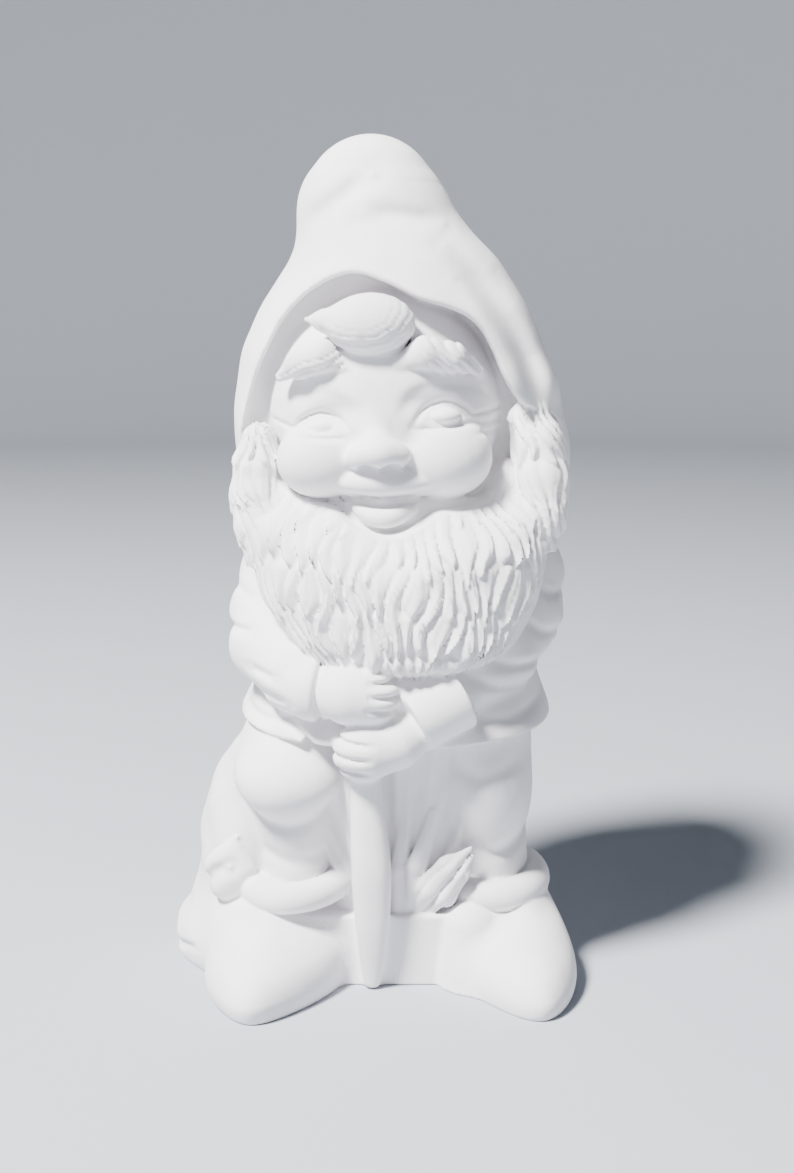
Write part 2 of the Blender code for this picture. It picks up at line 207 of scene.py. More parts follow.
def outline(x, z, centre, points):
    """How far (x, z) lies outside a closed outline, seen from the front.

    It is the radius from a centre less the outline's radius at that angle, times 0.92 for the slant between
    that radius and the outline's own normal."""
    points = np.array(points, float)
    angle = np.arctan2(points[:, 1] - centre[1], points[:, 0] - centre[0])
    order = np.argsort(angle)
    radius = np.hypot(points[:, 0] - centre[0], points[:, 1] - centre[1])[order]
    angle = angle[order]
    rows = np.column_stack([np.concatenate([angle - math.tau, angle, angle + math.tau]), np.tile(radius, 3)])
    table = smooth_table(rows, 6)
    bearing = np.arctan2(z - centre[1], x - centre[0])
    reach = np.interp(bearing, table[:, 0], table[:, 1])
    return (np.hypot(x - centre[0], z - centre[1]) - reach) * 0.92


# Surface detail, laid out in the front view: heights to take from a form or to add to it.


def line_gap(x, z, path):
    """The distance in the front view to a line through the path's points, each (x, z)."""
    nearest = np.full_like(x, FAR)
    for (ax, az), (bx, bz) in zip(path, path[1:]):
        dx, dz = bx - ax, bz - az
        along = np.clip(((x - ax) * dx + (z - az) * dz) / (dx * dx + dz * dz), 0.0, 1.0)
        nearest = np.minimum(nearest, np.hypot(x - ax - along * dx, z - az - along * dz))
    return nearest


def groove(x, z, path, width, depth):
    """A line pressed into the clay: depth times exp(-(gap / width)^2), shallower near its ends."""
    (ax, az), (bx, bz) = path[0], path[-1]
    reach = 0.3 * math.hypot(bx - ax, bz - az)
    end_gap = np.minimum(np.hypot(x - ax, z - az), np.hypot(x - bx, z - bz))
    if len(path) > 2:
        path = smooth_table(path, 4)
    pressed = np.exp(-((line_gap(x, z, path) / width) ** 2))
    return depth * blend_between(end_gap, -0.4 * reach, reach) * pressed


def lobes(t):
    """Round-topped ridges with sharp valleys at the whole numbers: |sin(pi t)|^0.7."""
    return np.abs(np.sin(math.pi * t)) ** 0.7


def hair(level, z, lock_width=5.5, lock_length=15.0):
    """Tufts laid in overlapping rows like shingles, from 0 in a deep valley to about 1.2 on a tuft's tip.

    level is the distance across the hair, which waves bend. Each row of tufts is shifted against the next.
    Each tuft starts higher or lower than its neighbours, stands prouder towards its tip, narrows and sinks
    there, and covers the roots of the row beneath. Fine strands run along it."""
    across = level + 2.0 * np.sin(z / 6.4 + 0.16 * level) + 0.7 * np.sin(z / 3.1 - 0.33 * level + 1.0)
    height = np.zeros_like(z)
    for above in (0, 1):
        row = np.floor(z / lock_length) + above
        place = across / lock_width + 0.5 * row + 0.3 * np.sin(5.1 * row)
        number = np.floor(place)
        chance = np.modf(np.abs(np.sin(number * 12.9898 + row * 78.233) * 43758.5453))[0]
        depth = row + 1.0 - z / lock_length
        down = depth + 0.7 * (chance - 0.5)
        narrowed = 1.0 - blend_between(down, 0.7, 1.75)
        crown = 1.0 - ((place - number - 0.5) / (0.59 * narrowed + 1e-3)) ** 2
        shown = blend_between(depth, 0.0, 0.3) * blend_between(narrowed, 0.12, 0.6)
        height = np.maximum(height, (0.45 + 0.5 * down) * np.clip(crown, 0.0, 1.0) * shown)
    strand = lobes(across / 2.3 + 0.4 * np.sin(z / 6.0))
    return height * (0.83 + 0.17 * strand)


# The head.

HOOD_ROWS = [
    (146, 2, 7, 50, 37),
    (156, 2, 6, 53.5, 40),
    (166, 2, 5, 56, 42.5),
    (175, 2.6, 4.5, 58, 44),
    (184, 2.0, 4, 58.7, 44.3),
    (196, 0.5, 4, 57.5, 44),
    (206, 0.3, 4, 56, 43.3),
    (216, -1, 4, 53, 42),
    (224, -1, 4, 49.8, 40.3),
    (232, -1, 4.3, 46, 38.2),
    (240, -0.9, 4.8, 41, 35),
    (248, -1.2, 5.4, 35.8, 31.4),
    (257, -4, 6.5, 30, 27.5),
    (265, -6.4, 7.2, 26.3, 24.8),
    (273, -7.8, 7.8, 23, 22.3),
]
HOOD_OPENING = [
    (-15, 242.5), (-27, 238), (-37, 229), (-44, 217), (-49.5, 203), (-53, 188), (-55, 172), (-50, 152),
    (-30, 138), (0, 132), (30, 138), (52, 150), (59, 168), (59, 186), (52, 195), (42, 199.5),
    (36, 208), (32, 217), (26, 226.5), (17, 231), (7, 234), (-4, 239.5),
]
HEAD_CENTRE = (-4.0, 196.0)


def hood(x, y, z):
    """A tall cone with a rounded tip, open in front; its lower edge drops towards the back."""
    cone = joined(
        8.0,
        loft(x, y, z, HOOD_ROWS, cap=8.0),
        ellipsoid(x, y, z, (-9, 8, 266), (23.5, 22.5, 24)),
    )
    cone = smooth_max(cone, 157.0 - 0.2 * (y - 4.0) - z, 2.0)
    opening = smooth_max(outline(x, z, HEAD_CENTRE, HOOD_OPENING), y + 8.0, 3.0)
    cone = smooth_max(cone, -opening, 2.6)
    front = 1.0 - blend_between(y, -14.0, 2.0)
    creases = (
        groove(x, z, [(-34, 258), (-22, 265), (-8, 275)], 4.0, 2.0)
        + groove(x, z, [(-12, 262), (1, 261.5), (16, 259)], 3.2, 1.4)
        + groove(x, z, [(16, 252), (34, 230), (43, 214), (50, 196)], 4.0, 3.0)
        - groove(x, z, [(20, 240), (36, 219), (44, 200)], 3.4, 1.6)
        - groove(x, z, [(34, 244), (50, 217), (57, 194)], 4.0, 1.2)
    )
    back = blend_between(y, 2.0, 26.0)
    turn = np.arctan2(y - 4.0, x)
    sway = 5.0 * turn + z / 31.0 + 1.1 * np.sin(z / 19.0)
    folds = 1.5 * np.sin(sway) * blend_between(z, 268.0, 225.0)
    band = 1.3 * np.exp(-(((z - 166.0 + 0.2 * (y - 4.0)) / 1.8) ** 2))
    return cone + front * creases + back * (folds + band)


def forelock(x, y, z):
    """A teardrop of hair with its point to the side, grooved along curves that follow its lower edge."""
    drop = smooth_min(
        ellipsoid(x, y, z, (-8.5, -31, 225.8), (14.6, 9.0, 10.3)),
        limb(x, y, z, [(-30, -28.5, 227.5, 0.7), (-24, -30, 227, 3.6), (-14, -31, 226, 7.0)]),
        3.0,
    )
    curve = np.hypot((x + 14.0) / 1.5, z - 232.0) + 0.4 * np.sin(x / 4.3) + 0.2 * np.sin(x / 1.9 + z)
    return drop - 0.34 * (lobes(curve / 2.1) - 0.7) * blend_between(curve, 3.0, 14.0)


def brow_right(x, y, z):
    """A tuft that slopes out and down, with strands along its lower edge."""
    path = [(-39, -25.5, 208.5, 1.6), (-32, -28.5, 213, 5.0), (-25, -30.5, 215.5, 5.4), (-18, -31, 212, 2.2)]
    across = z - 0.42 * (x + 30.0) + 0.6 * np.sin(x / 2.2)
    strands = 0.6 * (lobes(across / 3.0) - 0.7) * (1.0 - blend_between(across, 212.0, 215.0))
    return limb(x, y, z, path, flat=0.85) - strands


def brow_left(x, y, z):
    """A tuft like the other, with strands that slant across it."""
    path = [(1, -32.5, 213, 2.4), (9, -32.5, 216.5, 5.4), (18, -30.5, 215, 5.0), (27, -26, 210.5, 1.6)]
    across = x + 0.8 * z + 0.6 * np.sin(z / 2.0)
    strands = 0.8 * (lobes(across / 3.7 + 0.3) - 0.7) * blend_between(x, 5.0, 14.0)
    return limb(x, y, z, path, flat=0.85) - strands


def lip(x, y, z, place, half_length, rise, radius):
    """A crescent: a tube about a parabola that rises and draws back to its ends, and thins to nothing there.

    With s the share of the half length, the parabola rises by rise s^2 and draws back by 5.5 s^2, and the
    tube's radius falls as the root of 1 - s^2."""
    share = (x - place[0]) / half_length
    axis_gap = np.hypot(z - place[2] - rise * share**2, y - place[1] - 5.5 * share**2)
    return axis_gap - radius * np.sqrt(np.clip(1.0 - share**2, 0.0, 1.0))


def face(x, y, z):
    """A round skull with full cheeks, a button nose, smiling half-closed eyes and a parted mouth."""
    skull = ellipsoid(x, y, z, (-4, -2, 196.5), (40.5, 34.5, 42))
    cheeks = np.minimum(
        ellipsoid(x, y, z, (-25.3, -25, 180.8), (15.2, 15, 13)),
        ellipsoid(x, y, z, (15.8, -25.2, 181.8), (16.2, 15.5, 14)),
    )
    skin = smooth_min(skull, cheeks, 3.0)
    for socket in ((-25.5, -39.0, 197.0), (14, -40.5, 200.5)):
        skin = smooth_max(skin, -ellipsoid(x, y, z, socket, (12.5, 8.5, 5.6)), 4.0)
    muzzle = ellipsoid(x, y, z, (-4.5, -30.5, 174.0), (18.5, 11, 6.4))
    chin = ellipsoid(x, y, z, (-4.0, -26.5, 163.5), (12.5, 10.0, 9.0))
    skin = joined(1.8, skin, muzzle, chin)
    nose = joined(
        4.0,
        limb(x, y, z, [(-8.5, -30, 201, 3.4), (-6.5, -35, 188, 5.4)]),
        ellipsoid(x, y, z, (-6, -40.5, 184.2), (7.3, 6.4, 5.2)),
        ellipsoid(x, y, z, (-12.5, -38, 182.6), (4.2, 4.3, 3.7)),
        ellipsoid(x, y, z, (0.4, -38.5, 183.2), (4.0, 4.2, 3.6)),
    )
    skin = smooth_min(skin, nose, 2.6)
    for nostril in ((-10, -41.5, 178.9), (-1.8, -41.5, 179.3)):
        skin = smooth_max(skin, -ellipsoid(x, y, z, nostril, (3.4, 3.6, 2.0)), 1.2)
    balls = np.minimum(
        ellipsoid(x, y, z, (-24.8, -28.8, 192.0), (4.9, 5.2, 2.7)),
        ellipsoid(x, y, z, (15.6, -30.4, 195.6), (5.4, 5.4, 2.8)),
    )
    skin = smooth_min(skin, balls, 0.7)
    lines = (
        groove(x, z, [(-20, 171.8), (-12, 169.8), (-4, 169.2), (4, 170), (12.5, 172.8)], 1.2, 1.4)
        + groove(x, z, [(-35, 190), (-31.5, 194.3), (-25.5, 196.8), (-19.5, 195), (-15.5, 190.5)], 1.1, 1.7)
        + groove(x, z, [(5, 192.5), (9, 198), (15.5, 200.6), (22, 198.5), (26.5, 194.5)], 1.1, 1.3)
        + groove(x, z, [(-34, 189.2), (-25, 188.4), (-16, 188.6)], 0.9, 0.9)
        + groove(x, z, [(5, 191.7), (15, 191.9), (28, 193.8)], 0.9, 0.9)
        + groove(x, z, [(-40, 197), (-31, 202.5), (-21, 202.5), (-12, 197)], 2.0, 0.35)
        + groove(x, z, [(0, 194), (6, 203.5), (17, 206.5), (34, 204)], 2.0, 0.4)
        + groove(x, z, [(24, 195.8), (37, 198)], 0.8, 0.8)
        + groove(x, z, [(25.5, 192.8), (38, 193.6)], 0.8, 0.8)
        + groove(x, z, [(26, 190.2), (36, 189)], 0.8, 0.6)
        + groove(x, z, [(-43, 194), (-34, 191)], 0.8, 0.7)
    )
    upper_lip = lip(x, y, z, (-4.0, -34.2, 167.8), 9.5, 1.6, 1.6)
    lower_lip = lip(x, y, z, (-4.0, -37.6, 162.4), 11.2, 3.4, 3.2)
    return joined(0.5, skin + lines, upper_lip, lower_lip)


BEARD_ROWS = [
    (109, 3, -40, 10, 8),
    (113, 3, -37.5, 25, 14),
    (119, 2.5, -33.5, 35.5, 19.5),
    (127, 2, -29, 42.5, 24),
    (136, 1, -25.5, 47.5, 27),
    (148, 1, -22, 50, 29),
    (158, 0, -19.5, 51, 27.5),
    (166, -1, -18, 50, 24),
    (175, -2, -16, 47, 19),
    (186, -3, -14, 43, 13),
]
FACE_EDGE = [
    (-43, 196), (-42, 182), (-37, 171.5), (-28, 168), (-20, 165), (-13.5, 160), (-4, 157.3), (6.5, 160),
    (13, 164.5), (22, 165), (31, 168.5), (36, 178), (36, 196), (28, 214), (-4, 226), (-36, 214),
]


def beard(x, y, z):
    """A full oval that hangs from cheek to cheek, parted round the mouth and grooved into locks.

    The distance across the hair follows the oval's outline: with t the angle about its upright axis, it is
    depth t + (50 - depth) sin t. So each valley runs straight into the clay all the way round. The locks fade
    where the oval turns away and along its lower edge."""
    body = loft(x, y, z, BEARD_ROWS, cap=6.0)
    from_face = outline(x, z, HEAD_CENTRE, FACE_EDGE)
    shown = 1.0 - blend_between(y, -22.0, -4.0)
    hollowed = 6.0 * (1.0 - blend_between(from_face, 0.0, 16.0))
    parted = 12.0 * (1.0 - blend_between(from_face, -2.5, 1.5))
    rows = np.array(BEARD_ROWS, float)
    middle, depth = (np.interp(z, rows[:, 0], rows[:, column]) for column in (2, 4))
    half_width = np.interp(z, [106, 116, 126, 140, 160], [33.0, 39.5, 45.0, 48.5, 50.0])
    ahead = (middle - y) / depth
    angle = np.arctan2((x - 2.0) / half_width, np.maximum(ahead, 0.05))
    level = depth * angle + (50.0 - depth) * np.sin(angle)
    strength = 2.6 * blend_between(from_face, -1.0, 7.0) * blend_between(ahead, 0.0, 0.45)
    strength = strength * (0.4 + 0.6 * blend_between(z, 108.0, 121.0))
    return body + shown * (hollowed + parted - strength * (hair(level, z) - 0.6))


def side_lock(x, y, z, path):
    """A hanging lock, grooved by the angle about its own axis, on lines that slant to the viewer's right."""
    rows = np.array(path, float)[::-1]
    middle_x, middle_y = (np.interp(z, rows[:, 2], rows[:, column]) for column in (0, 1))
    level = 9.0 * np.arctan2(x - middle_x, middle_y - y) + 0.35 * (z - 170.0)
    relief = 1.9 * (hair(level, z, 4.6, 13.0) - 0.6)
    return limb(x, y, z, path) - relief * (1.0 - blend_between(y - middle_y, 0.0, 8.0))


def side_hair_right(x, y, z):
    """The narrower lock, on the viewer's left."""
    path = [
        (-47, -17, 187, 5.8), (-48, -18.2, 178, 7.6), (-48, -19, 168, 8.6),
        (-46.5, -20.5, 158, 8.8), (-44, -22, 148, 8),
    ]
    return side_lock(x, y, z, path)


def side_hair_left(x, y, z):
    """The broader lock, on the viewer's right."""
    path = [
        (45, -14.5, 193, 7.0), (48, -16.5, 185, 8.8), (49, -18.5, 174, 9.8),
        (48, -20, 161, 9.8), (45, -22, 148, 8.5),
    ]
    return side_lock(x, y, z, path)


# Arms, hands and the stake.


def hand_right(x, y, z):
    """The upper fist; its fingers end round the stake, one above the other."""
    fist = joined(
        4.0,
        ellipsoid(x, y, z, (-15, -46, 104.6), (11.5, 10.5, 10.2)),
        ellipsoid(x, y, z, (-7, -46, 103.8), (8.0, 9.8, 9.2)),
    )
    fingers = (
        groove(x, z, [(-9, 109.8), (3.5, 108.8)], 0.9, 1.9)
        + groove(x, z, [(-8.5, 105.6), (4, 104.2)], 0.9, 1.9)
        + groove(x, z, [(-9.5, 101.2), (3, 99.2)], 0.9, 1.9)
    )
    return fist + fingers


def hand_left(x, y, z):
    """The lower fist and its wrist; its fingers end at the viewer's left."""
    fist = joined(
        4.0,
        limb(x, y, z, [(10, -41, 94, 6.6), (0, -45.5, 88.5, 9.0), (-9, -47, 85.8, 9.6)]),
        ellipsoid(x, y, z, (-13, -46.5, 85.2), (8.5, 9.5, 9.2)),
    )
    fingers = (
        groove(x, z, [(-23, 90.8), (-8, 89.2)], 0.9, 1.5)
        + groove(x, z, [(-23.5, 85.6), (-9, 84.4)], 0.9, 1.5)
        + groove(x, z, [(-22, 80.4), (-9, 79.8)], 0.9, 1.5)
    )
    return fist + fingers


def cuff_left(x, y, z):
    """The sleeve's turned-back end: a short drum about the forearm, with square-cut edges."""
    start, end = np.array([5.0, -43.0, 95.0]), np.array([21.0, -38.0, 103.5])
    axis = (end - start) / np.linalg.norm(end - start)
    dx, dy, dz = x - start[0], y - start[1], z - start[2]
    along = dx * axis[0] + dy * axis[1] + dz * axis[2]
    radial = np.sqrt(np.maximum(dx * dx + dy * dy + dz * dz - along * along, 0.0))
    length = float(np.linalg.norm(end - start))
    drum = smooth_max(radial - (11.2 + 0.05 * along), np.maximum(-along, along - length), 1.5)
    return smooth_min(drum, limb(x, y, z, [(16, -40, 104, 7.5), (-5, -40.5, 103, 7.6)]), 2.0)


def sleeve_left(x, y, z):
    """The arm that comes down and forward to the turned-back cuff."""
    path = [
        (43, 2, 152, 12), (46.5, -2, 139, 12.3), (45.5, -9, 125, 12.4),
        (37, -22, 113, 11.4), (20, -36, 103.5, 8.8), (12, -38, 102, 8.0),
    ]
    folds = (
        groove(x, z, [(26, 117), (38, 112), (52, 112)], 1.8, 1.8)
        + groove(x, z, [(22, 111), (34, 105), (46, 103)], 1.8, 1.6)
        + groove(x, z, [(42, 127), (51, 121), (60, 121)], 1.8, 1.4)
        + groove(x, z, [(44, 140), (52, 134), (60, 134)], 1.8, 1.0)
    )
    return limb(x, y, z, path) + folds


def sleeve_right(x, y, z):
    """The arm that bends at the elbow to the upper fist, with a plain cuff line at the wrist."""
    path = [
        (-41, 2, 152, 11), (-43.5, -2, 139, 11.5), (-45.5, -7, 126, 13),
        (-45, -16, 115.5, 13), (-35, -32, 107.5, 11.4), (-27.5, -41, 105, 10.4),
    ]
    folds = (
        groove(x, z, [(-61, 122), (-48, 122)], 1.6, 1.5)
        + groove(x, z, [(-50, 111), (-40, 109)], 1.5, 1.2)
        + groove(x, z, [(-48, 104), (-36, 101)], 1.6, 1.1)
        + groove(x, z, [(-57, 136), (-48, 131)], 1.8, 1.0)
        + groove(x, z, [(-24.5, 118), (-26.8, 105), (-25, 92)], 1.2, 2.0)
    )
    return limb(x, y, z, path) + folds


def stake(x, y, z):
    """A pointed post, stoutest a third of the way up."""
    rows = [
        (0.5, -8.5, -40.5, 2.6, 2.6), (10, -8.4, -41, 4.2, 3.8), (22, -8.4, -42, 5.7, 5.0),
        (34, -8.5, -42.5, 6.5, 5.8), (44, -8.7, -43, 6.7, 6.0), (56, -9.4, -43, 6.2, 5.6),
        (68, -10.2, -43, 5.4, 5.2), (82, -10.5, -43, 5.0, 5.0),
    ]
    return loft(x, y, z, rows, power=2.3, cap=1.5)


# Clothes and boots.

JACKET_ROWS = [
    (84, -0.5, 1, 54.5, 41.5),
    (88, -0.5, 1, 54.5, 41.3),
    (94, -0.5, 1, 52.5, 39.8),
    (103, 0, 1, 49, 37.5),
    (115, 0, 1, 47.5, 36.5),
    (132, 1, 1, 48.5, 37.5),
    (146, 1, 1.5, 49, 38.5),
    (156, 1, 3, 47, 38.5),
    (168, 1, 4, 43, 36),
]


def jacket(x, y, z):
    """A short coat whose skirt flares to a square-cut hem, which rises towards the sides."""
    skirt_rows = [
        (80, -0.5, -1, 55.5, 45.5), (89, -0.5, -1, 54.3, 43.8), (97, 0, 0, 51, 40), (108, 0, 0, 47, 36),
    ]
    body = smooth_min(loft(x, y, z, JACKET_ROWS, cap=2.0), loft(x, y, z, skirt_rows, power=2.6), 4.0)
    body = smooth_max(body, 85.6 + 3.4 * (x / 52.0) ** 2 - z, 1.0)
    turn = np.arctan2(y - 1.0, x)
    skirt = 1.0 - blend_between(z, 88.0, 114.0)
    behind = blend_between(y, -4.0, 16.0)
    pleats = 1.3 * np.sin(9.0 * turn + 0.8 + z / 40.0) * skirt * behind
    rolls = 1.1 * np.sin(z / 6.0 + 2.2 * np.sin(2.0 * turn)) * behind * (1.0 - skirt)
    seam = behind * 1.1 * np.exp(-((x - 0.5) / 1.1) ** 2)
    front = y < 0
    dents = (
        groove(x, z, [(-58, 95), (-44, 92), (-32, 95)], 1.8, 1.0) * front
        + groove(x, z, [(-37, 93), (-31, 89), (-27, 82)], 1.2, 1.6) * front
        + groove(x, z, [(22, 95), (38, 93), (52, 98)], 2.2, 1.0) * front
    )
    return body + pleats + rolls + seam + dents


def trouser_right(x, y, z):
    """The bent leg: the knee bulges forward over the shin."""
    rows = [
        (26, -34, -12, 15, 22), (40, -34, -12, 15.5, 23.5), (52, -35, -12, 16.5, 25.5),
        (62, -36, -12, 18, 28), (70, -37, -11, 19.5, 30), (78, -37, -9, 19.5, 30), (90, -33, -4, 19, 30),
    ]
    knee = ellipsoid(x, y, z, (-37, -27, 71), (19.5, 21.5, 14.5))
    front = y < -10
    creases = (
        groove(x, z, [(-58, 72), (-51, 61), (-40, 56.5), (-28, 59), (-16, 71)], 2.6, 2.0) * front
        + groove(x, z, [(-50, 47), (-36, 43.5), (-22, 46)], 2.6, 1.2) * front
    )
    behind = blend_between(y, 4.0, 16.0)
    return smooth_min(loft(x, y, z, rows), knee, 5.0) + creases + 1.0 * np.sin(z / 4.6 + x / 9.0) * behind


def trouser_left(x, y, z):
    """The straighter leg: its knee only swells."""
    rows = [
        (24, 33, -8, 14.5, 23), (36, 32, -7, 14.8, 25), (48, 31, -6, 15.2, 27), (58, 30, -5.5, 15.8, 29.5),
        (68, 29.3, -5, 17.3, 31.5), (78, 29, -4, 18.8, 31.5), (90, 28, -3, 19.5, 31),
    ]
    knee = ellipsoid(x, y, z, (30, -15, 64), (16, 20, 19))
    front = y < -8
    creases = (
        groove(x, z, [(22, 50), (34, 45.5), (48, 50)], 3.0, 1.8) * front
        + groove(x, z, [(18, 78), (30, 73), (44, 79)], 3.0, 1.0) * front
    )
    behind = blend_between(y, 4.0, 16.0)
    return smooth_min(loft(x, y, z, rows), knee, 8.0) + creases + 1.0 * np.sin(z / 4.9 - x / 8.0) * behind


def boot_cuff_right(x, y, z):
    """The boot's rolled top."""
    return ring(x, y, z, (-34.5, -15.5, 33.2), (17, 25.8), 5.4, (0.1, 0.02))


def boot_cuff_left(x, y, z):
    """The other rolled top, which stands more level."""
    return ring(x, y, z, (33.5, -10.5, 31), (15.5, 23), 5.6, (-0.02, 0.02))


def boot_right(x, y, z):
    """A round-toed boot that turns out, with a swell on its outer side that runs into the mound."""
    rows = [
        (-3, -39.5, -28, 22.5, 42), (2, -40.5, -28.5, 24.5, 44.5), (7, -40.5, -28.5, 25, 45),
        (13, -39.8, -26.5, 24.5, 42.5), (19, -38.4, -22, 23.5, 35.5), (25, -36.8, -17.5, 21.5, 28),
        (33, -35, -15, 17, 21),
    ]
    foot = loft(x, y, z, rows, power=2.1, cap=4.0, lean=-7.5, taper=0.4)
    return smooth_min(foot, ellipsoid(x, y, z, (-54, -17, 12), (14, 19, 14)), 8.0)


def boot_left(x, y, z):
    """The other boot, with an upright inner side where it stands against the plinth."""
    rows = [
        (-3, 38.5, -25, 20, 42), (2, 39, -25.5, 21.5, 44.5), (7, 39, -25, 22, 44.5),
        (13, 38.2, -22.5, 21.5, 41.5), (19, 37, -18, 20, 34.5), (25, 35.5, -12.5, 18, 26.5),
        (32, 34, -10.5, 15.5, 21.5),
    ]
    foot = loft(x, y, z, rows, power=2.1, cap=4.0, lean=8.0, taper=0.34)
    return smooth_min(foot, limb(x, y, z, [(26, -36.5, -2, 12.2), (25.5, -33, 19, 11)]), 6.0)


# The ground and its plants.


def mound(x, y, z):
    """A bank of earth, lumpy where it spreads out."""
    rows = [
        (-3, -54, 0, 24, 31), (4, -56.5, 0, 23.5, 32.5), (11, -58, 0, 22, 32.5), (20, -56.5, 1, 18.5, 31.5),
        (30, -55, 2, 17, 31), (44, -54, 2, 17, 30.5), (58, -52, 1, 16.5, 28.5), (70, -49, -1, 14, 25),
        (81, -45, -3, 11, 20),
    ]
    lumps = np.sin(x / 5.1 + z / 9.0) * np.sin(z / 6.3 - y / 7.0 + 1.0) + 0.5 * np.sin(y / 3.7 + z / 4.1)
    crease = groove(x, z, [(-82, 3), (-76, 6.5), (-70, 9)], 1.5, 1.2)
    return loft(x, y, z, rows, cap=5.0) + 0.55 * lumps + crease


def leaf_small(x, y, z):
    """A broad curled leaf, hollowed below its pointed tip."""
    blade = joined(
        2.5,
        ellipsoid(x, y, z, (-59, -28.5, 37.2), (8.4, 5.4, 9.8)),
        limb(x, y, z, [(-60, -28.5, 41, 4.6), (-55.8, -29, 49.8, 0.8)], flat=0.8),
        limb(x, y, z, [(-55.5, -29, 46, 1.8), (-52.4, -29.5, 39, 3.0)], flat=0.9),
    )
    hollow = groove(x, z, [(-67, 33), (-62, 39), (-57.5, 40.5)], 2.6, 2.2)
    return blade + hollow


def leaf_large(x, y, z):
    """A broad leaf folded along its middle, with its point up."""
    upper_path = [(7, -34, 26, 2.6), (11, -36, 34, 5.0), (18, -37.5, 42, 4.4), (26.5, -38, 49.5, 0.8)]
    folded_path = [(10, -34.5, 26, 2.6), (16, -36.5, 32, 4.4), (21.5, -38, 40, 3.2), (26, -38, 48, 0.8)]
    upper = limb(x, y, z, upper_path, flat=0.7)
    folded = limb(x, y, z, folded_path, flat=0.7)
    veins = (
        groove(x, z, [(6, 20), (16, 35.5), (29, 52)], 0.9, 1.5)
        + groove(x, z, [(4, 26), (11, 38), (22, 48)], 0.8, 0.7)
        + groove(x, z, [(12, 22), (20, 34), (26, 45)], 0.8, 0.7)
    )
    return joined(1.5, upper, folded) + veins


def grass_blade_tall(x, y, z):
    """A blade that leans to the viewer's right."""
    return limb(x, y, z, [(3, -34.5, 25, 2.2), (6, -36, 42, 2.8), (12, -36.5, 62, 0.8)], flat=0.8)


def grass_blade_short(x, y, z):
    """An upright blade."""
    return limb(x, y, z, [(0, -35, 25, 2.0), (-0.4, -36, 41, 2.4), (1.5, -36.5, 57, 0.7)], flat=0.8)


def support_web(x, y, z):
    """The wall that joins the legs behind, with hanging folds of cloth."""
    rows = [(20, -4, 2, 45, 32.5), (50, -4, 2, 44, 31.5), (70, -3, 2, 45, 32.5), (92, -2, 1, 46, 33.5)]
    behind = blend_between(y, 8.0, 24.0)
    return loft(x, y, z, rows, power=2.6) + 1.2 * np.sin(x / 4.4 + 0.8 * np.sin(z / 17.0)) * behind


def front_panel(x, y, z):
    """The wall that joins the legs in front, in folds that rise and spread from the ground by the stake."""
    rows = [(20, -1, -21, 24, 14), (50, -1, -21.5, 24, 14.5), (70, -1, -23, 24, 14.5), (94, -1, -25, 24, 13)]
    bearing = np.arctan2(x + 1.0, z + 2.0)
    folds = np.sin(bearing / 0.026 + 0.8 * np.sin(z / 11.0)) + 0.4 * np.sin(bearing / 0.012 + 1.0)
    return loft(x, y, z, rows, power=2.8) - 1.0 * folds * blend_between(z, 26.0, 38.0)


def plinth(x, y, z):
    """The square-cornered slab that carries the figure."""
    rows = [(-6, -3, 0, 54, 38.5), (8, -3, 0, 54, 38.5), (25, -3, 0, 53.5, 38.5)]
    return loft(x, y, z, rows, power=6.0, cap=1.5)


# name, form, radius of the fillet that joins it to the forms before it, whether the cavity reaches into it
FORMS = [
    ("plinth", plinth, 2.0, True),
    ("support_web", support_web, 2.0, True),
    ("front_panel", front_panel, 1.5, True),
    ("mound", mound, 3.0, False),
    ("trouser_left", trouser_left, 2.5, True),
    ("trouser_right", trouser_right, 2.5, True),
    ("jacket", jacket, 2.0, True),
    ("hood", hood, 2.5, True),
    ("sleeve_left", sleeve_left, 2.5, False),
    ("sleeve_right", sleeve_right, 2.5, False),
    ("boot_left", boot_left, 1.6, False),
    ("boot_right", boot_right, 4.0, False),
    ("boot_cuff_left", boot_cuff_left, 0.8, False),
    ("boot_cuff_right", boot_cuff_right, 0.8, False),
    ("side_hair_left", side_hair_left, 2.5, False),
    ("side_hair_right", side_hair_right, 2.5, False),
    ("face", face, 2.0, True),
    ("beard", beard, 2.2, True),
    ("stake", stake, 3.0, False),
    ("cuff_left", cuff_left, 1.4, False),
    ("hand_left", hand_left, 1.6, False),
    ("hand_right", hand_right, 1.6, False),
    ("brow_left", brow_left, 1.4, False),
    ("brow_right", brow_right, 1.4, False),
    ("forelock", forelock, 1.2, False),
    ("leaf_small", leaf_small, 1.6, False),
    ("leaf_large", leaf_large, 1.2, False),
    ("grass_blade_short", grass_blade_short, 1.2, False),
    ("grass_blade_tall", grass_blade_tall, 1.2, False),
]
FORM_REACH = 9.0
FLOOR_THICKNESS = 6.0


def drain_hole(x, y, z, radius):
    """An upright hole through the plinth's floor, at the place of the frame's opening."""
    openings = frame["record"]["physics"]["openings"]
    low, high = next(opening["box_m"] for opening in openings if opening["name"] == "drain_hole")
    middle = ((Vector(low) + Vector(high)) / 2 - AXIS) / SCALE
    return smooth_max(np.hypot(x - middle.x, y - middle.y) - radius, z - 3 * FLOOR_THICKNESS, 1.0)


